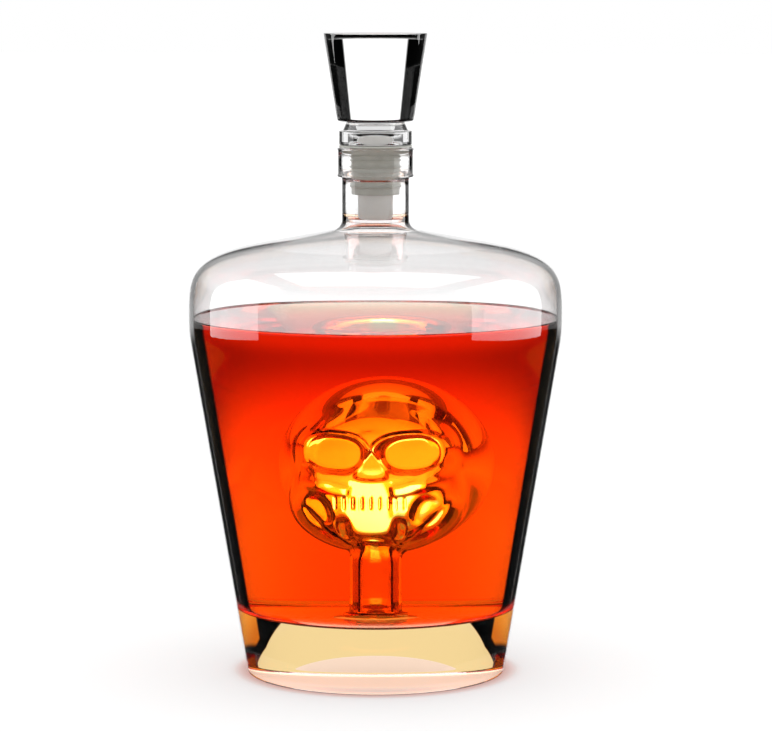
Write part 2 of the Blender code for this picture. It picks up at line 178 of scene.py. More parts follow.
# The world's lights. A pair is a span of degrees over which a light comes or goes: above the
# level for one that names a foot or a top, and off the camera's line for one that names an edge
FLOOR_TOP = (-4.0, -3.0)
CLEAR_LEVEL = 1.3
NEAR_FLOOR_FOOT = (-7.0, -5.5)
PANEL_FOOT = (1.0, 3.0)
PANEL_TOP = (12.0, 13.0)
MAIN_WINDOW_EDGE = (27, 30)
SIDE_WINDOW = 0.6
SIDE_WINDOW_EDGE = (82, 84)
LOW_LIGHT = 0.6  # all round, for solid glass seen from above
LOW_LIGHT_FOOT = (-13.0, -11.0)
LOW_LIGHT_TOP = (-1.0, 1.0)
LOW_LIGHT_EDGE = (55, 60)
LOW_LIGHT_FAR_EDGE = (78, 82)
THIN_LEVEL = 1.05
THIN_STEEP = 0.45  # the share of its light that a thin wall shows from well above or below
THIN_FOOT = (-26.0, -20.0)
THIN_TOP = (20.0, 26.0)
DARK_BACK = 0.30  # what the liqueur shows of the back wall above the lit band
DEEP_INSIDE = 1.6
DEEP_ABOVE = 0.5  # more of it from above and behind, but this much less beside that
DEEP_ASIDE = 0.9
DEEP_ABOVE_FOOT = (3.0, 8.0)
DEEP_ABOVE_EDGE = (42, 50)
DEEP_ABOVE_TINT = (1.0, 0.55, 0.5)
ASIDE_EDGE = (68, 76)  # where what is mirrored in the liqueur darkens
HOLLOW_FLOOR = 13.0
HOLLOW_FLOOR_FOOT = (-27.0, -23.0)
HOLLOW_FLOOR_TOP = (-5.5, -3.2)
HOLLOW_BACK = 4.2
HOLLOW_SKY = 3.6
HOLLOW_SKY_FOOT = (0.0, 3.0)
HOLLOW_STEEP = 0.75  # so much is missing where the sight goes steeply down
HOLLOW_STEEP_TOP = (-38.0, -32.0)
HOLLOW_SIDE = 0.3  # the share of the bright floor that shows beside the middle of the face
HOLLOW_MIDDLE_EDGE = (8, 16)
HOLLOW_TINT = (0.38, 1.6, 4.5)
HOLLOW_SIDE_TINT = (0.9, 0.9, 0.3)
HOLLOW_BACK_TINT = (1.0, 1.0, 0.4)
INNER_WORLD = 0.9
INNER_WORLD_FOOT = (-8.0, -4.0)
EDGE_FLOOR = 0.12
EDGE_SKY = 0.5
EDGE_SKY_FOOT = (14.0, 18.0)
EDGE_SKY_TOP = (38, 44)
MIRRORED_WORLD = 0.02
DOME = 1.0  # the pale ceiling that the glass mirrors
DOME_FOOT = (6.0, 14.0)
HIGH_DOME = 0.4
HIGH_DOME_FOOT = (32, 46)
EDGE_MIRROR = 0.8
EDGE_MIRROR_FOOT = (-10.0, -6.0)
EDGE_MIRROR_EDGE = (28, 34)

# The low bright band round the carafe, which stands for a lit back, and its colours by the
# share of its height
GLOW_DISTANCE = 0.30
GLOW_HEIGHT = 0.138
GLOW_STRENGTH = 1.9
GLOW_SIDES = 96
GLOW_COLOURS = ((0.0, (0.66, 0.34, 0.17)), (0.42, (0.94, 0.62, 0.26)), (1.0, (1.0, 0.30, 0.10)))
FADE_START = 0.090
# What the thick base shows of it. Pairs of heights are in metres, pairs of sides in degrees
SLUG_EDGE = 71.0  # the bright window's side at the table, and by how many degrees it leans a metre
SLUG_LEAN = 2000.0
SLUG_BLUR = 0.8
SLUG_TOP = (0.070, 0.078)
SLUG_FADE = (0.016, 0.050)
SLUG_LOW_COLOUR = (1.0, 0.74, 0.34)
SLUG_HIGH_COLOUR = (0.88, 0.66, 0.54)
SILL_TOP = (0.0182, 0.0190)
SILL_SIDE = (43.5, 44.5)
IMAGE_FOOT = (0.050, 0.052)
IMAGE_SIDE = (42.5, 44)
FAR_SIDE = (74, 76)
ORANGE_FOOT = (0.025, 0.027)
ORANGE_SIDE = (37, 38.5)
ORANGE_LEAN = 0.0008  # metres that the orange glow's foot climbs in each degree
ORANGE_LEANING_FOOT = (-0.009, -0.006)
ORANGE_FADE = (0.028, 0.050)
ORANGE_LOW_COLOUR = (0.80, 0.18, 0.01)
ORANGE_HIGH_COLOUR = (1.25, 0.40, 0.02)

# The floor. Pairs are distances from the carafe's axis over which its look changes
FLOOR_PALE = 0.8
FLOOR_LIFT = 0.32
# Painted light: an orange glow on the floor round the carafe, as light through the liqueur would cast, seen
# only through glass.
FLOOR_PAINTED_GLOW = (0.95, 0.71, 0.55)
FLOOR_PAINTED_GLOW_END = (0.29, 0.31)
FOOT_PAINTED_SHADOW = (0.80, 0.55, 0.50)  # painted shadow right round the foot, tinted pink as by light through the liqueur
FOOT_PAINTED_SHADOW_WIDTH = 0.009
UNDER_GLOW = 0.75  # extra light on the floor right under the thick base
UNDER_GLOW_END = (0.050, 0.056)
FLOOR_DARK = 0.95  # solid glass sees a darker floor further out
FLOOR_DARK_START = (0.76, 0.80)
FLOOR_INSIDE = 0.08
FLOOR_BEHIND = 0.45
FLOOR_BEHIND_shares = (0.5, 0.64)  # how far behind the carafe, in shares of the distance
FLOOR_REACH = 12.0
FLOOR_DROP = 0.0002  # the far floor lies this much below the near one
NEAR_FLOOR_RADIUS = 1.2
NEAR_FLOOR_SIDES = 64

# The softboxes: degrees from the camera's side to its right, distance and width
SOFTBOX_STRENGTH = 3.5
LEFT_SOFTBOX = (-97.0, 3.02, 2.49)
RIGHT_SOFTBOX = (90.1, 2.97, 3.48)
SOFTBOX_FOOT = -0.35
SOFTBOX_TOP = 3.27
OVERHEAD_WIDTH = 0.92
OVERHEAD_DEPTH = 0.70
OVERHEAD_HEIGHT = 0.9

scene = bpy.context.scene


def arc(centre_r, centre_z, radius, start, end, steps):
    """Points on an arc in the (r, z) plane, with angles in degrees from +r towards +z."""
    turns = [radians(start + (end - start) * i / steps) for i in range(steps + 1)]
    return [(centre_r + radius * cos(t), centre_z + radius * sin(t)) for t in turns]


def bezier(p0, p1, p2, p3, steps):
    """Points on a cubic curve, without its first one."""
    points = []
    for i in range(1, steps + 1):
        t = i / steps
        s = 1 - t
        weights = (s**3, 3 * s * s * t, 3 * s * t * t, t**3)
        points.append(tuple(sum(w * p[k] for w, p in zip(weights, (p0, p1, p2, p3))) for k in (0, 1)))
    return points


def ease(start, corner, end, steps):
    """A rounded corner from start to end."""
    return bezier(start, corner, corner, end, steps)


def inset(outline, depth):
    """The outline moved inwards by depth, where it runs down its outer side."""
    moved = []
    for i, (r, z) in enumerate(outline):
        before = outline[max(i - 1, 0)]
        after = outline[min(i + 1, len(outline) - 1)]
        heading = atan2(after[1] - before[1], after[0] - before[0])
        moved.append((r + depth * sin(heading), z - depth * cos(heading)))
    return moved


def refined(outline, step):
    """The outline with points added so that none is further than step from the next."""
    points = [outline[0]]
    for a, b in zip(outline, outline[1:]):
        count = max(1, int(np.ceil(np.hypot(b[0] - a[0], b[1] - a[1]) / step)))
        for i in range(1, count + 1):
            points.append((a[0] + (b[0] - a[0]) * i / count, a[1] + (b[1] - a[1]) * i / count))
    return points


def mesh_object(name, vertices, faces, mat, body):
    mesh = bpy.data.meshes.new(name)
    mesh.from_pydata(vertices, [], faces)
    mesh.shade_smooth()
    mesh.materials.append(mat)
    ob = bpy.data.objects.new(name, mesh)
    scene.collection.objects.link(ob)
    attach(ob, body)
    return ob


def ring_faces(rings, count, closed):
    """Faces between rings of count vertices each, numbered in order; closed joins last to first."""
    faces = []
    for j in range(rings if closed else rings - 1):
        low, high = j * count, ((j + 1) % rings) * count
        for i in range(count):
            k = (i + 1) % count
            faces.append((low + i, high + i, high + k, low + k))
    return faces


def circle_ring(r, z, count):
    turns = np.arange(count) * 2 * pi / count
    return np.stack((r * np.cos(turns), r * np.sin(turns), np.full(count, z)), axis=1)


def loft(name, rings, mat, body, closed=False):
    """A skin over rings of points. An open one is closed by a point at the middle of each end."""
    count = len(rings[0])
    vertices = np.concatenate(rings)
    faces = ring_faces(len(rings), count, closed)
    if not closed:
        first, last = rings[0].mean(axis=0), rings[-1].mean(axis=0)
        vertices = np.concatenate((vertices, [first, last]))
        top, foot = len(vertices) - 2, len(vertices) - 1
        base = (len(rings) - 1) * count
        faces += [(top, i, (i + 1) % count) for i in range(count)]
        faces += [(foot, base + (i + 1) % count, base + i) for i in range(count)]
    return mesh_object(name, vertices.tolist(), faces, mat, body)


def turned(name, outline, mat, body, closed=False, turns=TURNS):
    rings = [circle_ring(r, z, turns) for r, z in outline]
    return loft(name, rings, mat, body, closed)


# Shader nodes


def calc(nt, kind, a, b=None, c=None):
    """One Math node; a number or a socket for each input."""
    node = nt.nodes.new("ShaderNodeMath")
    node.operation = kind
    for i, value in enumerate((a, b, c)):
        if value is None:
            continue
        if isinstance(value, (int, float)):
            node.inputs[i].default_value = value
        else:
            nt.links.new(value, node.inputs[i])
    return node.outputs[0]


def step_between(nt, value, low, high):
    """0 below low, 1 above high, smooth between."""
    node = nt.nodes.new("ShaderNodeMapRange")
    node.interpolation_type = "SMOOTHSTEP"
    nt.links.new(value, node.inputs["Value"])
    node.inputs["From Min"].default_value = low
    node.inputs["From Max"].default_value = high
    return node.outputs["Result"]


def both(nt, *values):
    """The product of the values."""
    product = values[0]
    for value in values[1:]:
        product = calc(nt, "MULTIPLY", product, value)
    return product


def largest(nt, *values):
    top = values[0]
    for value in values[1:]:
        top = calc(nt, "MAXIMUM", top, value)
    return top


def without(nt, value):
    return calc(nt, "SUBTRACT", 1.0, value)


def below(nt, value, low, high):
    """1 below low, 0 above high, smooth between."""
    return without(nt, step_between(nt, value, low, high))


def between(nt, share, start, end):
    """The start where the share is 0, and the end where it is 1."""
    return calc(nt, "MULTIPLY_ADD", share, end - start, start)


def within(nt, ahead, inner, outer):
    """1 within the inner angle of the camera's line, 0 beyond the outer one, in degrees. ahead is
    the cosine of the angle of what is looked at."""
    return step_between(nt, ahead, cos(radians(outer)), cos(radians(inner)))


def flat_length(nt, x, y):
    return calc(nt, "SQRT", calc(nt, "ADD", calc(nt, "MULTIPLY", x, x), calc(nt, "MULTIPLY", y, y)))


def mixed(nt, factor, first, second):
    """A colour between two, each a colour or a socket."""
    node = nt.nodes.new("ShaderNodeMix")
    node.data_type = "RGBA"
    nt.links.new(factor, node.inputs["Factor"])
    for socket, colour in ((node.inputs[6], first), (node.inputs[7], second)):
        if isinstance(colour, tuple):
            socket.default_value = (*colour, 1.0)
        else:
            nt.links.new(colour, socket)
    return node.outputs[2]


def colour_ramp(nt, factor, stops):
    """Colours by two stops or more, each a place from 0 to 1 and a colour."""
    ramp = nt.nodes.new("ShaderNodeValToRGB")
    nt.links.new(factor, ramp.inputs["Fac"])
    elements = ramp.color_ramp.elements
    for i, (place, colour) in enumerate(stops):
        element = elements[i] if i < 2 else elements.new(place)
        element.position = place
        element.color = (*colour, 1.0)
    return ramp.outputs["Color"]


def part_clear(nt, share, shader):
    """Makes the material look like the shader, and clear by the share."""
    clear = nt.nodes.new("ShaderNodeBsdfTransparent")
    mix = nt.nodes.new("ShaderNodeMixShader")
    nt.links.new(share, mix.inputs["Fac"])
    nt.links.new(shader, mix.inputs[1])
    nt.links.new(clear.outputs[0], mix.inputs[2])
    nt.links.new(mix.outputs[0], nt.nodes["Material Output"].inputs["Surface"])


def surface_parts(nt, kind):
    """The parts along x, y and z of the surface's Position or Normal."""
    split = nt.nodes.new("ShaderNodeSeparateXYZ")
    nt.links.new(nt.nodes.new("ShaderNodeNewGeometry").outputs[kind], split.inputs["Vector"])
    return split.outputs


def camera_parts(nt, vector):
    """The vector's parts to the camera's right, away from the camera and up."""
    turn = nt.nodes.new("ShaderNodeMapping")
    turn.inputs["Rotation"].default_value = (0.0, 0.0, -CAMERA_TURN)
    nt.links.new(vector, turn.inputs["Vector"])
    split = nt.nodes.new("ShaderNodeSeparateXYZ")
    nt.links.new(turn.outputs["Vector"], split.inputs["Vector"])
    return split.outputs


# Materials


def new_material(name):
    mat = bpy.data.materials.new(name)
    mat.use_nodes = True
    return mat, mat.node_tree, mat.node_tree.nodes["Principled BSDF"]


def grain(nt, scale, detail):
    """Noise that stays with the object."""
    coords = nt.nodes.new("ShaderNodeTexCoord")
    noise = nt.nodes.new("ShaderNodeTexNoise")
    noise.inputs["Scale"].default_value = scale
    noise.inputs["Detail"].default_value = detail
    nt.links.new(coords.outputs["Object"], noise.inputs["Vector"])
    return noise.outputs["Fac"]


def add_bump(nt, height, strength, distance):
    bump = nt.nodes.new("ShaderNodeBump")
    bump.inputs["Strength"].default_value = strength
    bump.inputs["Distance"].default_value = distance
    nt.links.new(height, bump.inputs["Height"])
    nt.links.new(bump.outputs["Normal"], nt.nodes["Principled BSDF"].inputs["Normal"])


def edge_on(nt):
    """0 where the surface is seen square on, 1 where it is seen edge-on."""
    facing = nt.nodes.new("ShaderNodeLayerWeight")
    facing.inputs["Blend"].default_value = 0.5
    return facing.outputs["Facing"]


def clear_material(name, ior):
    mat, nt, shader = new_material(name)
    shader.inputs["Base Color"].default_value = (*WHITE, 1.0)
    shader.inputs["Roughness"].default_value = 0.0
    shader.inputs["IOR"].default_value = ior
    shader.inputs["Transmission Weight"].default_value = 1.0
    return mat, nt, shader


def glass_material(name, wave_scale, wave_strength, soft_edge=0.0):
    """Clear glass, faintly uneven as blown glass is. Thin walls seen edge-on turn pale by the share
    soft_edge."""
    mat, nt, shader = clear_material(name, GLASS_IOR)
    if soft_edge > 0:
        edge = step_between(nt, edge_on(nt), SOFT_EDGE_START, SOFT_EDGE_END)
        part_clear(nt, calc(nt, "MULTIPLY", edge, soft_edge), shader.outputs["BSDF"])
    add_bump(nt, grain(nt, wave_scale, 1.0), wave_strength, WAVE_DEPTH)
    return mat


def paint_stem_shade(mat):
    """The stem's tube is tinted brown, painted shade that makes it show darker than the skull."""
    nt = mat.node_tree
    _, _, height = surface_parts(nt, "Position")
    stem_end = STEM_HIGH.z - STEM_CLEAR
    clear = step_between(nt, height, stem_end - STEM_CLEAR_BLUR, stem_end + STEM_CLEAR_BLUR)
    # painted shade: brown on the stem, clear at its end inside the skull
    nt.links.new(mixed(nt, clear, STEM_PAINTED_SHADE, WHITE), nt.nodes["Principled BSDF"].inputs["Base Color"])


def liqueur_material():
    """The orange-red liqueur. Where its outer wall is seen at a grazing angle, it is painted black: painted
    shade at its rim.
    """
    mat, nt, shader = clear_material("liqueur", LIQUEUR_IOR)
    x, y, _ = surface_parts(nt, "Position")
    _, _, lean = surface_parts(nt, "Normal")
    outer = calc(nt, "GREATER_THAN", flat_length(nt, x, y), RIM_RADIUS)
    upright = calc(nt, "LESS_THAN", calc(nt, "ABSOLUTE", lean), 0.5)
    grazing = step_between(nt, edge_on(nt), 1 - cos(radians(RIM_START)), 1 - cos(radians(RIM_END)))
    # painted shade: black where the outer wall is seen edge-on
    painted_rim_shade = both(nt, outer, upright, grazing)
    nt.links.new(mixed(nt, painted_rim_shade, WHITE, BLACK), shader.inputs["Base Color"])
    absorb = nt.nodes.new("ShaderNodeVolumeAbsorption")
    absorb.inputs["Color"].default_value = (*LIQUEUR_COLOUR, 1.0)
    absorb.inputs["Density"].default_value = LIQUEUR_DENSITY
    nt.links.new(absorb.outputs["Volume"], nt.nodes["Material Output"].inputs["Volume"])
    return mat


def plastic_material(name, colour, deep, roughness):
    """Pale moulded plastic, a little cloudy, with fine mould grain."""
    mat, nt, shader = new_material(name)
    speckle = grain(nt, PLASTIC_GRAIN, 2.0)
    nt.links.new(colour_ramp(nt, speckle, ((0.3, deep), (0.7, colour))), shader.inputs["Base Color"])
    shader.inputs["Roughness"].default_value = roughness
    shader.inputs["Subsurface Weight"].default_value = PLASTIC_CLOUD
    shader.inputs["Subsurface Radius"].default_value = (PLASTIC_CLOUD_DEPTH,) * 3
    add_bump(nt, speckle, PLASTIC_BUMP, PLASTIC_BUMP_DEPTH)
    return mat


# The carafe


def body_outline():
    """The outside from the neck's flare down to the heel."""
    flare_centre = NECK_RADIUS + NECK_FLARE_RADIUS
    outline = arc(flare_centre, BODY_HEIGHT, NECK_FLARE_RADIUS, 180, 270 - degrees(SHOULDER_PITCH), 16)
    flare_end = outline[-1]
    cone_drop = (SHOULDER_CONE_RADIUS - flare_end[0]) * tan(SHOULDER_PITCH)
    cone_end = (SHOULDER_CONE_RADIUS, flare_end[1] - cone_drop)
    outline.append(cone_end)
    over, down = BODY_RADIUS - cone_end[0], cone_end[1] - BELT_HEIGHT
    over_share, down_share = 0.93, 0.55
    first = (cone_end[0] + over * over_share, cone_end[1] - over * over_share * tan(SHOULDER_PITCH))
    second = (BODY_RADIUS, BELT_HEIGHT + down * down_share)
    outline += bezier(cone_end, first, second, (BODY_RADIUS, BELT_HEIGHT), 60)
    meet = TAPER_TOP_HEIGHT + (BODY_RADIUS - TAPER_TOP_RADIUS) / TAPER
    outline += ease(outline[-1], (BODY_RADIUS, meet), (TAPER_TOP_RADIUS, TAPER_TOP_HEIGHT), 24)
    return outline


def inner_wall():
    """The inside of the wall from the flare down to the axis at the floor."""
    wall = inset(body_outline(), BODY_WALL)
    wall[0] = (NECK_RADIUS - NECK_WALL, BODY_HEIGHT)
    lean = atan2(TAPER, 1.0)
    wall_foot = HEEL_RADIUS + (FLOOR_HEIGHT - HEEL_HEIGHT) * TAPER - BODY_WALL / cos(lean)
    corner = (wall_foot, FLOOR_HEIGHT)
    top = (wall_foot + FLOOR_FILLET * TAPER, FLOOR_HEIGHT + FLOOR_FILLET)
    wall += [top]
    wall += ease(top, corner, (wall_foot - FLOOR_FILLET, FLOOR_HEIGHT), 16)
    return wall


def bead_outline():
    """The small bead on the floor, from the axis out to its foot."""
    outline = [(0.0, FLOOR_HEIGHT + BEAD_HEIGHT), (BEAD_RADIUS - BEAD_HEIGHT, FLOOR_HEIGHT + BEAD_HEIGHT)]
    outline += ease(outline[-1], (BEAD_RADIUS, FLOOR_HEIGHT + BEAD_HEIGHT), (BEAD_RADIUS, FLOOR_HEIGHT), 8)
    return outline


def neck_outside():
    band_foot = LIP_HEIGHT - BAND_LENGTH
    outline = arc(BAND_RADIUS, LIP_HEIGHT - BAND_EDGE, BAND_EDGE, 90, -60, 10)
    outline += arc(BAND_RADIUS, band_foot + BAND_EDGE, BAND_EDGE, 60, -90, 10)
    outline += ease(outline[-1], (NECK_RADIUS, band_foot), (NECK_RADIUS, band_foot - BAND_STEP_LENGTH), 10)
    return outline


def neck_inside():
    """The bore from the foot of the neck up to the lip."""
    bore = NECK_RADIUS - NECK_WALL
    band_bore = BAND_RADIUS - BAND_WALL
    band_foot = LIP_HEIGHT - BAND_LENGTH
    step_foot = band_foot - BAND_STEP_LENGTH
    outline = [(bore, step_foot - BAND_WALL)]
    outline += bezier(outline[-1], (bore, band_foot), (band_bore, step_foot), (band_bore, band_foot), 12)
    outline += arc(band_bore + BAND_WALL / 2, LIP_HEIGHT - BAND_WALL / 2, BAND_WALL / 2, 180, 100, 8)
    return outline


def make_vessel(glass):
    """Neck, shoulder, wall and base as the one piece of glass that they are."""
    heel = (HEEL_RADIUS, HEEL_HEIGHT)
    ring_inner = FOOT_RADIUS - FOOT_RING_WIDTH
    outside = neck_outside() + body_outline() + [heel]
    outside += ease(heel, (HEEL_RADIUS - HEEL_HEIGHT * TAPER, 0.0), (FOOT_RADIUS, 0.0), 16)
    outside += [(ring_inner, 0.0)]
    outside += ease(outside[-1], (ring_inner / 2, FOOT_RECESS), (0.0, FOOT_RECESS), 24)
    inside = bead_outline() + inner_wall()[::-1] + neck_inside()
    outline = refined(inside + outside, 0.004)
    outline[0] = (AXIS, outline[0][1])
    outline[-1] = (AXIS, outline[-1][1])
    vessel = turned("vessel_glass", outline, glass, "carafe")
    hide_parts("neck", "body_shell", "glass_base")


# The skull's forms, in shares of its width, length and height from its middle. The stem's axis
# passes in front of the middle.
SETBACK_share = 0.262
BULB_shares = ((0.0, 0.015, 0.0), (0.50, 0.485, 0.50))
MUZZLE_shares = ((0.0, -0.25, -0.11), (0.41, 0.235, 0.30))
BROW_LUMP_shares = ((0.0, -0.27, 0.10), (0.42, 0.185, 0.21))
JAW_shares = ((0.0, -0.20, -0.22), (0.44, 0.27, 0.275))
LUMP_BLEND_share = 0.07
HEART_shares = (0.0, -SETBACK_share, 0.0)  # every point of the skin is in plain sight of here
# Half the face's width at each height, where the mask of the face stands out from the bulb
MASK_OUTLINE_shares = (
    (-0.47, 0.03), (-0.445, 0.15), (-0.39, 0.22), (-0.32, 0.29), (-0.22, 0.385), (-0.15, 0.43),
    (-0.05, 0.43), (0.05, 0.41), (0.15, 0.395), (0.24, 0.375), (0.32, 0.32), (0.40, 0.20), (0.45, 0.05),
)
MASK_RISE_shares = ((-0.46, 0.050), (-0.12, 0.050), (0.08, 0.030), (0.20, 0.018), (0.38, 0.0))
MASK_EDGE_share = 0.030
# Flat-bottomed forms: (across, up), (half width, half height), squareness, steepness of the rim,
# narrowing upwards, tilt, and the depth to push where there is one
SOCKET_shares = ((0.212, 0.080), (0.168, 0.104), 2.4, 11.0, 0.0, 5.0)
SOCKET_FLOOR_shares = (-0.400, 0.22)  # depth at the middle of the face, and its slant sideways
BROW_shares = (1.20, 0.10, -0.026)  # place from the socket's middle, half width, push
NOSE_shares = ((0.0, 0.018), (0.135, 0.086), 2.6, 8.0, 0.97, 0.0)
NOSE_FLOOR_share = -0.455
PANEL_shares = ((0.0, -0.240), (0.122, 0.175), 4.0, 7.0, -0.10, 0.0)
PANEL_FRONT_share = -0.500
TEETH_shares = (-0.198, 0.036, 0.215, 0.050, 0.014)  # height, half height, reach, pitch, depth
MOUTH_shares = (-0.200, 0.005, 0.20, 0.004)
PUSHED_shares = (
    ((0.360, -0.062), (0.115, 0.048), 2.5, 3.0, 0.0, 12.0, -0.034),  # cheekbone
    ((0.225, -0.108), (0.115, 0.032), 2.5, 3.0, 0.0, 14.0, -0.022),  # cheekbone's root
    ((0.305, -0.250), (0.075, 0.088), 2.5, 4.0, 0.1, -16.0, 0.060),  # hollow of the cheek
    ((0.152, -0.352), (0.045, 0.060), 2.5, 4.0, 0.0, -14.0, 0.055),  # beside the chin
    ((0.340, 0.285), (0.060, 0.090), 2.2, 4.0, 0.0, 14.0, 0.050),  # temple
    ((0.0, 0.160), (0.075, 0.055), 2.2, 3.0, 0.0, 0.0, -0.020),  # between the brows
)
SKULL_RINGS = 180
SKULL_TURNS = 220
FRONT_DENSITY = 0.55
HEIGHT_PER_WIDTH = 1.2  # of the skull, so that a tilt in shares is a true turn


def ellipsoid_depth(points, centre, half):
    scaled = (points - np.array(centre)) / np.array(half)
    length = np.linalg.norm(scaled, axis=1)
    slope = np.linalg.norm(scaled / np.array(half), axis=1)
    return length * (length - 1) / np.maximum(slope, 1e-9)


def head_depth(points):
    depth = ellipsoid_depth(points, *BULB_shares)
    for centre, half in (MUZZLE_shares, BROW_LUMP_shares, JAW_shares):
        other = ellipsoid_depth(points, centre, half)
        mix = np.clip(0.5 + (other - depth) / (2 * LUMP_BLEND_share), 0, 1)
        depth = other + (depth - other) * mix - LUMP_BLEND_share * mix * (1 - mix)
    return depth


def head_reach(directions):
    near = np.zeros(len(directions))
    far = np.ones(len(directions))
    for _ in range(30):
        middle = (near + far) / 2
        outside = head_depth(directions * middle[:, None] + HEART_shares) > 0
        far = np.where(outside, middle, far)
        near = np.where(outside, near, middle)
    return near


def plateau(across, up, middle, half, squareness, rim, narrowing, tilt):
    """1 inside a rounded form, 0 outside it, and where a point lies from its middle, 1 at its rim."""
    turn = radians(tilt)
    x, z = across - middle[0], up - middle[1]
    u = x * cos(turn) + z * sin(turn) * HEIGHT_PER_WIDTH
    v = (z * cos(turn) - x * sin(turn) / HEIGHT_PER_WIDTH) / half[1]
    u = u / (half[0] * np.clip(1 - narrowing * (v + 1) / 2, 0.06, 2.0))
    place = (np.abs(u) ** squareness + np.abs(v) ** squareness) ** (1 / squareness)
    return 0.5 * (1 - np.tanh((place - 1) * rim)), place


def band(values, middle, half, softness):
    return 0.5 * (1 - np.tanh((np.abs(values - middle) - half) / softness))


def face_relief(x, y, z):
    """The depth, from the skull's middle, that the face's front has at (x, z)."""
    across = np.abs(x)
    outline = np.interp(z, *np.array(MASK_OUTLINE_shares).T)
    rise = np.interp(z, *np.array(MASK_RISE_shares).T)
    inside = 0.5 * (1 + np.tanh((outline - across) / MASK_EDGE_share * 2))
    y = y - rise * inside
    for middle, half, squareness, rim, narrowing, tilt, push in PUSHED_shares:
        y = y + push * plateau(across, z, middle, half, squareness, rim, narrowing, tilt)[0]
    flat, _ = plateau(across, z, *PANEL_shares)
    y = y + (PANEL_FRONT_share - y) * flat
    height, half, reach, pitch, depth = TEETH_shares
    grooves = np.abs(np.cos(np.pi * x / pitch)) ** 6
    y = y + depth * grooves * band(z, height, half, 0.008) * band(across, 0, reach, 0.02)
    height, half, reach, depth = MOUTH_shares
    y = y + depth * band(z, height, half, 0.004) * band(across, 0, reach, 0.02)
    hole, place = plateau(across, z, *SOCKET_shares)
    middle, width, push = BROW_shares
    above = np.clip((z - SOCKET_shares[0][1]) / SOCKET_shares[1][1] + 0.5, 0, 1)
    y = y + push * np.exp(-(((place - middle) / width) ** 2)) * above
    y = y + (SOCKET_FLOOR_shares[0] + SOCKET_FLOOR_shares[1] * across - y) * hole
    hole, _ = plateau(across, z, *NOSE_shares)
    return y + (NOSE_FLOOR_share - y) * hole


def skull_places(directions):
    x, y, z = (directions * head_reach(directions)[:, None] + HEART_shares).T
    facing = np.clip(-directions[:, 1] * 3.0 - 0.2, 0, 1)
    plain = np.stack((x, y, z), axis=1)
    moved = np.stack((x, y + (face_relief(x, y, z) - y) * facing, z), axis=1)
    low, high = moved.min(axis=0), moved.max(axis=0)
    return [(places - (low + high) / 2) / (high - low) for places in (moved, plain)]


def skull_skin():
    """Rings over the skull from the crown down and on down the stem, in metres."""
    lats = np.linspace(pi / 2, -pi / 2, SKULL_RINGS + 2)[1:-1]
    v = np.arange(SKULL_TURNS) * 2 / SKULL_TURNS - 1
    lons = -pi / 2 + pi * (FRONT_DENSITY * v + (1 - FRONT_DENSITY) * v**3)
    lat, lon = (g.ravel() for g in np.meshgrid(lats, lons, indexing="ij"))
    directions = np.stack((np.cos(lat) * np.cos(lon), np.cos(lat) * np.sin(lon), np.sin(lat)), axis=1)
    foot = SKULL_LOW.z
    size = np.array((SKULL_WIDTH, SKULL_LENGTH, SKULL_HIGH.z - foot))
    middle = np.array((0.0, SETBACK_share * SKULL_LENGTH, (SKULL_HIGH.z + foot) / 2))
    carved, plain = (places * size + middle for places in skull_places(directions))
    rings = carved.reshape(SKULL_RINGS, SKULL_TURNS, 3)
    guide = plain.reshape(SKULL_RINGS, SKULL_TURNS, 3)
    # The last rings give way to the stem
    near = np.hypot(rings[:, :, 0], rings[:, :, 1]).mean(axis=1)
    low = rings[:, :, 2].mean(axis=1) < middle[2]
    last = int(np.argmax((near < STEM_RADIUS * STEM_MOUTH_share) & low))
    keep = list(rings[:last])
    edge, before = keep[-1], keep[-4]
    turns = np.arctan2(edge[:, 1], edge[:, 0])

    def stem_ring(r, z):
        return np.stack((r * np.cos(turns), r * np.sin(turns), np.full(len(turns), z)), axis=1)

    stem_top = foot - STEM_TOP_DROP
    goal = stem_ring(STEM_RADIUS, stem_top)
    above_goal = goal + np.array((0, 0, STEM_BLEND))
    lead = (edge - before) / 3
    lead *= (STEM_BLEND / np.maximum(np.linalg.norm(lead, axis=1), 1e-9))[:, None]
    for i in range(1, STEM_BLEND_RINGS + 1):
        t = i / STEM_BLEND_RINGS
        w = ((1 - t) ** 3, 3 * (1 - t) ** 2 * t, 3 * (1 - t) * t * t, t**3)
        keep.append(edge * w[0] + (edge + lead) * w[1] + above_goal * w[2] + goal * w[3])
    stem = refined([(STEM_RADIUS, stem_top), (STEM_RADIUS, STEM_LOW.z + STEM_FLARE_LENGTH)], 0.002)[1:]
    stem += ease(stem[-1], (STEM_RADIUS, STEM_LOW.z), (STEM_RADIUS + STEM_FLARE, STEM_LOW.z), 8)
    skin = np.array(keep + [stem_ring(r, z) for r, z in stem])
    plain_skin = skin.copy()
    plain_skin[:last] = guide[:last]
    return skin, plain_skin


def pushed(rings, guide, depth):
    """The rings moved along the normals of the guide, outwards for a depth above zero. The plain
    head guides the carved one, so that the wall never folds over itself."""
    down = np.gradient(guide, axis=0)
    around = np.roll(guide, -1, axis=1) - np.roll(guide, 1, axis=1)
    normal = np.cross(down, around)
    normal /= np.maximum(np.linalg.norm(normal, axis=2), 1e-12)[..., None]
    return rings + normal * depth


def make_skull(glass):
    """The hollow skull and its stem as one blown piece, standing on the bead. Gives the liqueur's
    skin round it."""
    skin, guide = skull_skin()
    inner = pushed(skin, guide, -SKULL_WALL)
    inner[-1, :, 2] = skin[-1, :, 2]
    skull = loft("skull_glass", list(skin) + list(inner[::-1]), glass, "carafe")
    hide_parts("skull", "skull_stem")
    return pushed(skin, guide, -LIQUID_BITE)


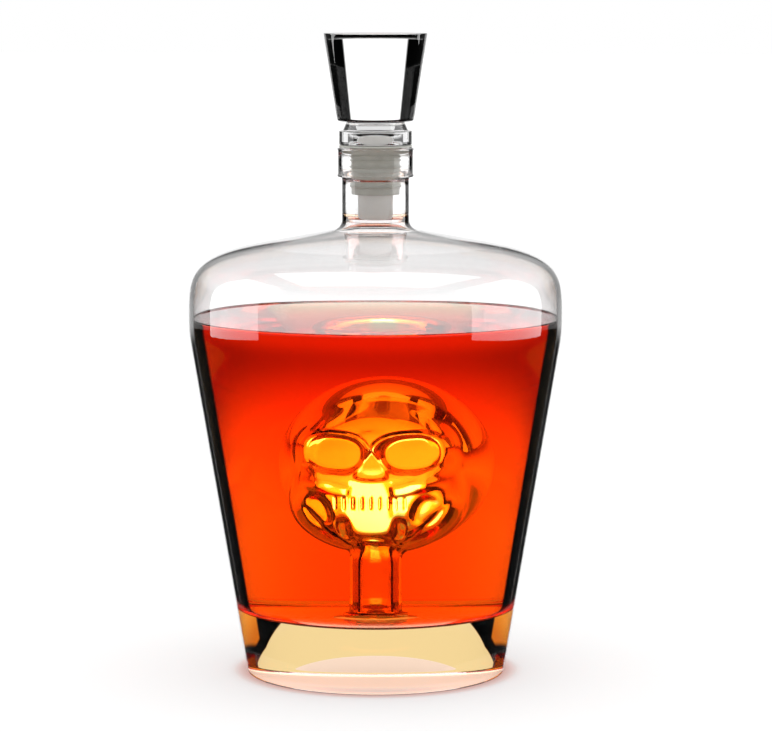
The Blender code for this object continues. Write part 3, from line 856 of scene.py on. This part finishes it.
def make_liqueur(liquid, hollow):
    """The liqueur, with its meniscus at the wall and the room that the skull takes."""
    wall = [p for p in inner_wall() if p[1] < BELT_HEIGHT + LIQUID_MARGIN]
    wet = inset(wall, LIQUID_AIR)
    rim_top = LIQUID_LEVEL + MENISCUS_RISE
    reach = float(np.interp(-rim_top, [-z for _, z in wet], [r for r, _ in wet]))
    surface = [(AXIS, LIQUID_LEVEL), (reach - MENISCUS_WIDTH, LIQUID_LEVEL)]
    lead = (reach - MENISCUS_WIDTH / 3, LIQUID_LEVEL)
    surface += bezier(surface[-1], lead, (reach, LIQUID_LEVEL), (reach, rim_top), 10)
    # On the floor there is no air film
    sink = LIQUID_AIR + LIQUID_BITE
    floor_top = FLOOR_HEIGHT + FLOOR_FILLET / 2
    side = [(r, z - sink if z < floor_top else z) for r, z in wet if z < rim_top - MENISCUS_RISE]
    bead_reach = BEAD_RADIUS - LIQUID_BITE
    bead = [(bead_reach, FLOOR_HEIGHT - LIQUID_BITE), (bead_reach, FLOOR_HEIGHT + BEAD_HEIGHT)]
    outline = refined(surface + side + bead, 0.004)
    rings = [circle_ring(r, z, SKULL_TURNS) for r, z in outline]
    loft("liqueur", rings + list(hollow[::-1]), liquid, "carafe")


# The stopper


def make_head(glass):
    """The solid knob with the groove and the collar under it, and the socket for the peg."""
    top, collar_foot = HEAD_HIGH.z, HEAD_LOW.z
    groove_foot = collar_foot + COLLAR_HEIGHT
    knob_foot = groove_foot + GROOVE_HEIGHT
    slope = (HEAD_TOP_RADIUS - HEAD_FOOT_RADIUS) / (top - knob_foot)
    outline = [(AXIS, top), (HEAD_TOP_RADIUS - HEAD_RIM, top)]
    rim_end = (HEAD_TOP_RADIUS - HEAD_RIM * slope, top - HEAD_RIM)
    outline += ease(outline[-1], (HEAD_TOP_RADIUS, top), rim_end, 6)
    outline += [(HEAD_FOOT_RADIUS + HEAD_CORNER * slope, knob_foot + HEAD_CORNER)]
    corner_end = (HEAD_FOOT_RADIUS - HEAD_CORNER, knob_foot)
    outline += ease(outline[-1], (HEAD_FOOT_RADIUS, knob_foot), corner_end, 14)
    fillet = GROOVE_HEIGHT / 6
    outline += ease(outline[-1], (GROOVE_TOP_RADIUS, knob_foot), (GROOVE_TOP_RADIUS, knob_foot - fillet), 5)
    outline += [(GROOVE_FOOT_RADIUS, groove_foot + fillet)]
    fillet_end = (GROOVE_FOOT_RADIUS + fillet, groove_foot)
    outline += ease(outline[-1], (GROOVE_FOOT_RADIUS, groove_foot), fillet_end, 5)
    edge = COLLAR_CORNER / 2
    outline += [(COLLAR_RADIUS - edge, groove_foot)]
    outline += ease(outline[-1], (COLLAR_RADIUS, groove_foot), (COLLAR_RADIUS, groove_foot - edge), 5)
    outline += [(COLLAR_RADIUS, collar_foot + COLLAR_CORNER)]
    corner_end = (COLLAR_RADIUS - COLLAR_CORNER, collar_foot)
    outline += ease(outline[-1], (COLLAR_RADIUS, collar_foot), corner_end, 8)
    socket, socket_top = PEG_HIGH.x + GAP, collar_foot + SOCKET_DEPTH
    outline += [(socket, collar_foot), (socket, socket_top), (AXIS, socket_top)]
    head = turned("stopper_glass", refined(outline, 0.003), glass, "stopper", turns=FINE_TURNS)
    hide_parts("stopper_head")


def make_peg(plastic):
    radius, foot, top = PEG_HIGH.x, PEG_LOW.z, PEG_HIGH.z
    outline = [(AXIS, top), (radius - PEG_CORNER, top)]
    outline += ease(outline[-1], (radius, top), (radius, top - PEG_CORNER), 5)
    outline += [(radius, foot + PEG_CORNER)]
    outline += ease(outline[-1], (radius, foot), (radius - PEG_CORNER, foot), 5)
    outline += [(AXIS, foot)]
    peg = turned("peg", refined(outline, 0.002), plastic, "stopper", turns=FINE_TURNS)
    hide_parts("stopper_peg")


def make_sleeve(plastic):
    """The ribbed plug round the peg, with its thin flange."""
    foot, flange_top = SLEEVE_LOW.z, SLEEVE_HIGH.z
    flange_foot = flange_top - FLANGE_THICKNESS
    bore, flange = PEG_HIGH.x + GAP / 2, SLEEVE_HIGH.x
    outline = [(bore, flange_top), (flange - FLANGE_EDGE, flange_top)]
    outline += [(flange, flange_top - FLANGE_THICKNESS / 2), (flange - FLANGE_EDGE, flange_foot)]
    outline += [(SLEEVE_RADIUS, flange_foot)]
    pitch = (flange_foot - foot - SLEEVE_CORNER) / (RIB_COUNT + 1)
    for i in range(RIB_COUNT):
        crest = flange_foot - pitch * (i + 1)
        outline += [(SLEEVE_RADIUS, crest + RIB_REACH), (SLEEVE_RADIUS + RIB_TOE, crest + RIB_REACH / 2)]
        outline += arc(SLEEVE_RADIUS + RIB_RISE, crest, RIB_TIP, 90, -90, 6)
        outline += [(SLEEVE_RADIUS + RIB_TOE, crest - RIB_REACH / 2), (SLEEVE_RADIUS, crest - RIB_REACH)]
    outline += [(SLEEVE_RADIUS, foot + SLEEVE_CORNER)]
    outline += ease(outline[-1], (SLEEVE_RADIUS, foot), (SLEEVE_RADIUS - SLEEVE_CORNER, foot), 4)
    outline += [(bore, foot)]
    sleeve = turned("ribbed_sleeve", outline, plastic, "stopper", closed=True, turns=FINE_TURNS)
    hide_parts("stopper_sleeve")


# The studio


class Path:
    """What a ray has met before it leaves the glass: how the studio tells the liqueur, clear glass
    and reflections apart, from whatever side they are seen."""

    def __init__(self, nt):
        path = nt.nodes.new("ShaderNodeLightPath").outputs
        self.camera = path["Is Camera Ray"]
        through = path["Is Transmission Ray"]
        self.mirrored = both(nt, path["Is Glossy Ray"], without(nt, through))
        straight = both(nt, through, calc(nt, "LESS_THAN", path["Glossy Depth"], 0.5))
        inner = both(nt, through, calc(nt, "GREATER_THAN", path["Glossy Depth"], 0.5))
        solid = calc(nt, "LESS_THAN", path["Transmission Depth"], SOLID_FACES)
        filled = calc(nt, "GREATER_THAN", path["Transmission Depth"], FILLED_FACES)
        airy = calc(nt, "GREATER_THAN", path["Transmission Depth"], HOLLOW_FACES)
        self.inner = inner
        self.clear = both(nt, straight, without(nt, filled))
        self.solid = both(nt, self.clear, solid)
        self.thin = both(nt, self.clear, without(nt, solid))
        self.deep = both(nt, straight, filled, without(nt, airy))
        self.hollow = both(nt, straight, filled, airy)
        self.inside_solid = both(nt, inner, solid)
        self.inside_thin = both(nt, inner, without(nt, solid), without(nt, filled))
        self.inside_deep = both(nt, inner, filled)
        neither = calc(nt, "SUBTRACT", without(nt, through), path["Is Glossy Ray"])
        self.plain = calc(nt, "MAXIMUM", neither, 0.0)


class Sky:
    """The way a ray leaves: how high it points, and how far off the camera's line."""

    def __init__(self, nt):
        self.nt = nt
        x, y, self.up = camera_parts(nt, nt.nodes.new("ShaderNodeTexCoord").outputs["Generated"])
        flat = calc(nt, "MAXIMUM", flat_length(nt, x, y), 0.001)
        self.back = calc(nt, "DIVIDE", y, flat)
        self.ahead = calc(nt, "ABSOLUTE", self.back)
        self.raised = both(nt, calc(nt, "GREATER_THAN", y, 0.0), self.above(DEEP_ABOVE_FOOT))
        self.middle = self.within(HOLLOW_MIDDLE_EDGE)

    def above(self, foot):
        low, high = foot
        return step_between(self.nt, self.up, sin(radians(low)), sin(radians(high)))

    def below(self, top):
        return without(self.nt, self.above(top))

    def within(self, edge):
        """In front or behind."""
        return within(self.nt, self.ahead, *edge)

    def beyond(self, edge):
        return without(self.nt, self.within(edge))


def solid_light(nt, sky, path):
    """For the knob, the collar and the base: windows in front and behind, dimmer ones at the
    sides, and a low light that leaves out what is aslant to the camera."""
    sides = both(nt, sky.beyond(SIDE_WINDOW_EDGE), SIDE_WINDOW)
    windows = largest(nt, sky.within(MAIN_WINDOW_EDGE), sides)
    near = both(nt, sky.below(FLOOR_TOP), sky.above(NEAR_FLOOR_FOOT))
    panel = both(nt, sky.above(PANEL_FOOT), sky.below(PANEL_TOP))
    aslant = both(nt, sky.within(LOW_LIGHT_FAR_EDGE), sky.beyond(LOW_LIGHT_EDGE))
    low_light = both(nt, sky.above(LOW_LIGHT_FOOT), sky.below(LOW_LIGHT_TOP), without(nt, aslant))
    lit = largest(nt, both(nt, windows, largest(nt, near, panel)), both(nt, low_light, LOW_LIGHT))
    return both(nt, path.solid, lit, CLEAR_LEVEL)


def thin_light(nt, sky, path):
    level_way = both(nt, sky.above(THIN_FOOT), sky.below(THIN_TOP))
    return both(nt, path.thin, largest(nt, level_way, THIN_STEEP), THIN_LEVEL)


def liqueur_light(nt, _, path):
    return both(nt, path.deep, DARK_BACK)


def halo_light(nt, sky, path):
    """For what is mirrored in the liqueur, on the skull's rim above all."""
    aside = both(nt, sky.raised, sky.beyond(DEEP_ABOVE_EDGE))
    dimmed = between(nt, aside, 1.0, 1 - DEEP_ASIDE)
    level = between(nt, sky.raised, DEEP_INSIDE, DEEP_INSIDE + DEEP_ABOVE)
    return both(nt, path.inside_deep, sky.within(ASIDE_EDGE), dimmed, level)


def skull_light(nt, sky, path):
    """For the hollow skull: brightest low down, where the teeth and the chin look."""
    share = between(nt, sky.middle, HOLLOW_SIDE, 1.0)
    floor = both(nt, sky.below(HOLLOW_FLOOR_TOP), sky.above(HOLLOW_FLOOR_FOOT))
    low = both(nt, floor, share, HOLLOW_FLOOR - HOLLOW_BACK)
    high = both(nt, sky.above(HOLLOW_SKY_FOOT), HOLLOW_SKY - HOLLOW_BACK)
    level = calc(nt, "ADD", calc(nt, "ADD", low, high), HOLLOW_BACK)
    return both(nt, path.hollow, level, between(nt, sky.above(HOLLOW_STEEP_TOP), 1 - HOLLOW_STEEP, 1.0))


def wall_light(nt, sky, path):
    """For what is mirrored inside the thin walls."""
    return both(nt, path.inside_thin, sky.above(INNER_WORLD_FOOT), INNER_WORLD)


def edge_light(nt, sky, path):
    """For what is mirrored inside the knob and the base."""
    low = both(nt, sky.below(FLOOR_TOP), EDGE_FLOOR)
    high = both(nt, sky.above(EDGE_SKY_FOOT), sky.below(EDGE_SKY_TOP), EDGE_SKY)
    return both(nt, path.inside_solid, largest(nt, low, high))


def mirror_light(nt, sky, path):
    """For what the outside of the glass mirrors: a ceiling, and a low light behind."""
    ceiling = both(nt, sky.above(DOME_FOOT), between(nt, sky.above(HIGH_DOME_FOOT), DOME, HIGH_DOME))
    behind = both(nt, within(nt, sky.back, *EDGE_MIRROR_EDGE), sky.above(EDGE_MIRROR_FOOT), EDGE_MIRROR)
    return both(nt, path.mirrored, largest(nt, ceiling, behind, MIRRORED_WORLD))


def world_colour(nt, sky, path):
    """White but for the skull and its rim."""
    rim = mixed(nt, both(nt, path.inside_deep, sky.raised), WHITE, DEEP_ABOVE_TINT)
    lower_face = mixed(nt, sky.middle, HOLLOW_SIDE_TINT, HOLLOW_TINT)
    face = mixed(nt, sky.below(HOLLOW_FLOOR_TOP), HOLLOW_BACK_TINT, lower_face)
    return mixed(nt, path.hollow, rim, face)


def make_world():
    """White for the camera, an even light for surfaces, and for glass a dark studio with a lit
    back and floor."""
    world = bpy.data.worlds.new("studio")
    scene.world = world
    world.use_nodes = True
    nt = world.node_tree
    background = nt.nodes["Background"]
    sky, path = Sky(nt), Path(nt)
    through = (solid_light, thin_light, liqueur_light, halo_light, skull_light)
    total = path.plain
    for light in through + (wall_light, edge_light, mirror_light):
        total = calc(nt, "ADD", total, light(nt, sky, path))
    nt.links.new(world_colour(nt, sky, path), background.inputs["Color"])
    nt.links.new(total, background.inputs["Strength"])


def stage_mesh(name, vertices, faces, mat, **seen):
    """A piece of the studio, seen only by the kinds of rays named."""
    mesh = bpy.data.meshes.new(name)
    mesh.from_pydata(vertices, [], faces)
    mesh.materials.append(mat)
    ob = bpy.data.objects.new(name, mesh)
    scene.collection.objects.link(ob)
    for kind in ("camera", "diffuse", "glossy", "transmission", "volume_scatter", "shadow"):
        setattr(ob, f"visible_{kind}", seen.get(kind, False))


def stage_plane(name, corners, mat, **seen):
    stage_mesh(name, corners, [tuple(range(len(corners)))], mat, **seen)


def stage_material(name):
    mat = bpy.data.materials.new(name)
    mat.use_nodes = True
    nt = mat.node_tree
    nt.nodes.remove(nt.nodes["Principled BSDF"])
    return mat, nt, Path(nt)


def glow_material(name, strength):
    """A soft light that glass mirrors. Clear glass doesn't show it straight through."""
    mat, nt, path = stage_material(name)
    emit = nt.nodes.new("ShaderNodeEmission")
    nt.links.new(between(nt, path.hollow, strength, 2 * strength), emit.inputs["Strength"])
    part_clear(nt, largest(nt, path.clear, path.inside_solid, path.inside_thin), emit.outputs["Emission"])
    return mat


def slug_glows(nt, height, angle):
    """What the thick base shows: a bright window with leaning sides, its image in the base's
    underside, a narrow window from either side, and an orange glow outside them."""
    lean = calc(nt, "MULTIPLY_ADD", height, SLUG_LEAN, angle)
    leaning = below(nt, lean, SLUG_EDGE - SLUG_BLUR, SLUG_EDGE + SLUG_BLUR)
    sill = both(nt, below(nt, height, *SILL_TOP), below(nt, angle, *SILL_SIDE))
    image = both(nt, step_between(nt, height, *IMAGE_FOOT), below(nt, angle, *IMAGE_SIDE))
    bright = largest(nt, leaning, sill, image, step_between(nt, angle, *FAR_SIDE))
    leaning_foot = calc(nt, "MULTIPLY_ADD", angle, -ORANGE_LEAN, height)
    orange = both(
        nt,
        step_between(nt, height, *ORANGE_FOOT),
        step_between(nt, angle, *ORANGE_SIDE),
        step_between(nt, leaning_foot, *ORANGE_LEANING_FOOT),
    )
    return bright, orange


def backlight_material():
    """A low band of light that only rays through the liqueur or the thick base see, paler and
    warmer near the floor and fading upwards."""
    mat, nt, path = stage_material("backlight")
    _, y, height = camera_parts(nt, nt.nodes.new("ShaderNodeNewGeometry").outputs["Position"])
    ahead = calc(nt, "DIVIDE", calc(nt, "ABSOLUTE", y), GLOW_DISTANCE)
    angle = calc(nt, "DEGREES", calc(nt, "ARCCOSINE", calc(nt, "MINIMUM", ahead, 1.0)))
    faded = between(nt, step_between(nt, height, FADE_START, GLOW_HEIGHT), GLOW_STRENGTH, DARK_BACK)
    aside = both(nt, without(nt, within(nt, ahead, *ASIDE_EDGE)), path.inside_deep)
    level = largest(nt, both(nt, faded, without(nt, aside), without(nt, path.clear)), path.clear)
    bright, orange = slug_glows(nt, height, angle)
    window = both(nt, largest(nt, bright, orange), below(nt, height, *SLUG_TOP))
    seen = largest(nt, path.deep, path.inside_deep, both(nt, path.clear, window))
    tint = colour_ramp(nt, calc(nt, "DIVIDE", height, GLOW_HEIGHT), GLOW_COLOURS)
    slug_tint = mixed(nt, step_between(nt, height, *SLUG_FADE), SLUG_LOW_COLOUR, SLUG_HIGH_COLOUR)
    orange_tint = mixed(nt, step_between(nt, height, *ORANGE_FADE), ORANGE_LOW_COLOUR, ORANGE_HIGH_COLOUR)
    clear_tint = mixed(nt, bright, orange_tint, slug_tint)
    emit = nt.nodes.new("ShaderNodeEmission")
    nt.links.new(mixed(nt, path.clear, tint, clear_tint), emit.inputs["Color"])
    nt.links.new(level, emit.inputs["Strength"])
    part_clear(nt, without(nt, seen), emit.outputs["Emission"])
    return mat


def card(name, place, mat, **seen):
    """An upright card that faces the carafe. Its place is the angle from the camera's side to its
    right, in degrees, the distance and the width."""
    azimuth, distance, width = place
    turn = radians(azimuth) + CAMERA_TURN
    middle = Vector((sin(turn), -cos(turn))) * distance
    side = Vector((cos(turn), sin(turn))) * (width / 2)
    left, right = middle - side, middle + side
    corners = [(*left, SOFTBOX_FOOT), (*right, SOFTBOX_FOOT), (*right, SOFTBOX_TOP), (*left, SOFTBOX_TOP)]
    stage_plane(name, corners, mat, **seen)


def level_corners(wide, deep, height):
    """The corners of a level oblong in the middle of the studio, by half its width and depth."""
    return [(-wide, -deep, height), (wide, -deep, height), (wide, deep, height), (-wide, deep, height)]


def make_floor():
    """A pale floor with the carafe's shadow and a painted pinkish shadow round the foot. Glass sees
    its bright near part only straight through, tinted by a painted orange glow."""
    mat, nt, path = stage_material("floor")
    position = nt.nodes.new("ShaderNodeNewGeometry").outputs["Position"]
    x, y, _ = camera_parts(nt, position)
    out = flat_length(nt, x, y)
    # Its colour, with a painted glow and a painted shadow
    darkened = both(nt, path.solid, step_between(nt, out, *FLOOR_DARK_START))
    dimmed = between(nt, darkened, 1.0, 1 - FLOOR_DARK)
    # painted light: the floor near the carafe is tinted orange for rays through glass
    painted_near_glow = both(nt, path.clear, below(nt, out, *FLOOR_PAINTED_GLOW_END))
    # painted shadow: pinkish and darker right round the foot, for the camera
    painted_foot_shadow = both(nt, path.camera, below(nt, out, FOOT_RADIUS, FOOT_RADIUS + FOOT_PAINTED_SHADOW_WIDTH))
    painted_glow_and_shadow = mixed(nt, painted_foot_shadow, mixed(nt, painted_near_glow, WHITE, FLOOR_PAINTED_GLOW), FOOT_PAINTED_SHADOW)
    pale = nt.nodes.new("ShaderNodeVectorMath")
    pale.operation = "SCALE"
    nt.links.new(painted_glow_and_shadow, pale.inputs[0])
    nt.links.new(both(nt, without(nt, path.inner), FLOOR_PALE, dimmed), pale.inputs["Scale"])
    diffuse = nt.nodes.new("ShaderNodeBsdfDiffuse")
    nt.links.new(pale.outputs[0], diffuse.inputs["Color"])
    # Its own light
    behind = step_between(nt, calc(nt, "DIVIDE", y, out), *FLOOR_BEHIND_shares)
    inside = both(nt, path.inside_deep, between(nt, behind, FLOOR_INSIDE, FLOOR_INSIDE + FLOOR_BEHIND))
    lifted = calc(nt, "ADD", calc(nt, "ADD", path.camera, path.clear), path.deep)
    lift = calc(nt, "MULTIPLY_ADD", lifted, FLOOR_LIFT, inside)
    under = both(nt, path.clear, below(nt, out, *UNDER_GLOW_END))
    lift = calc(nt, "MULTIPLY_ADD", under, UNDER_GLOW, lift)
    emit = nt.nodes.new("ShaderNodeEmission")
    nt.links.new(painted_glow_and_shadow, emit.inputs["Color"])
    nt.links.new(both(nt, lift, dimmed), emit.inputs["Strength"])
    shader = nt.nodes.new("ShaderNodeAddShader")
    nt.links.new(diffuse.outputs[0], shader.inputs[0])
    nt.links.new(emit.outputs[0], shader.inputs[1])
    part_clear(nt, path.hollow, shader.outputs[0])
    seen = {"camera": True, "diffuse": True, "shadow": True}
    far = level_corners(FLOOR_REACH, FLOOR_REACH, -FLOOR_DROP)
    stage_plane("floor_far", far, mat, **seen)
    rim = circle_ring(NEAR_FLOOR_RADIUS, 0.0, NEAR_FLOOR_SIDES).tolist()
    stage_plane("floor_near", rim, mat, transmission=True, **seen)


def make_studio():
    """Two softboxes, an overhead one, and the glow all round."""
    soft = glow_material("softbox", SOFTBOX_STRENGTH)
    shown = {"glossy": True, "transmission": True}
    card("softbox_left", LEFT_SOFTBOX, soft, **shown)
    card("softbox_right", RIGHT_SOFTBOX, soft, **shown)
    overhead = level_corners(OVERHEAD_WIDTH / 2, OVERHEAD_DEPTH / 2, OVERHEAD_HEIGHT)
    stage_plane("overhead", overhead, soft, **shown)
    rings = [circle_ring(GLOW_DISTANCE, z, GLOW_SIDES) for z in (0.0, GLOW_HEIGHT)]
    faces = ring_faces(2, GLOW_SIDES, False)
    stage_mesh("glow", np.concatenate(rings).tolist(), faces, backlight_material(), transmission=True)


def make_camera():
    data = bpy.data.cameras.new("camera")
    data.lens = CAMERA_LENS
    data.clip_start = 0.01
    camera = bpy.data.objects.new("camera", data)
    scene.collection.objects.link(camera)
    scene.camera = camera
    out = Vector((sin(CAMERA_TURN), -cos(CAMERA_TURN), 0.0))
    aside = Vector((cos(CAMERA_TURN), sin(CAMERA_TURN), 0.0)) * CAMERA_SIDE
    place = out * CAMERA_DISTANCE + aside + Vector((0, 0, CAMERA_HEIGHT))
    target = aside + Vector((0, 0, TARGET_HEIGHT))
    camera.location = place
    camera.rotation_euler = (place - target).to_track_quat("Z", "Y").to_euler()


vessel_glass = glass_material("clear_glass", *BLOWN_WAVES, SOFT_EDGE)
stopper_glass = glass_material("stopper_glass", *BLOWN_WAVES)
skull_glass = glass_material("skull_glass", *SKULL_WAVES)
paint_stem_shade(skull_glass)
liquid = liqueur_material()
peg_plastic = plastic_material("peg_plastic", *PEG_LOOK)
sleeve_plastic = plastic_material("sleeve_plastic", *SLEEVE_LOOK)

make_vessel(vessel_glass)
hollow = make_skull(skull_glass)
make_liqueur(liquid, hollow)
make_head(stopper_glass)
make_peg(peg_plastic)
make_sleeve(sleeve_plastic)
make_world()
make_floor()
make_studio()
make_camera()

scene.view_settings.view_transform = "Standard"
scene.cycles.max_bounces = 32
scene.cycles.transmission_bounces = 32
scene.cycles.glossy_bounces = 16
scene.cycles.transparent_max_bounces = 16
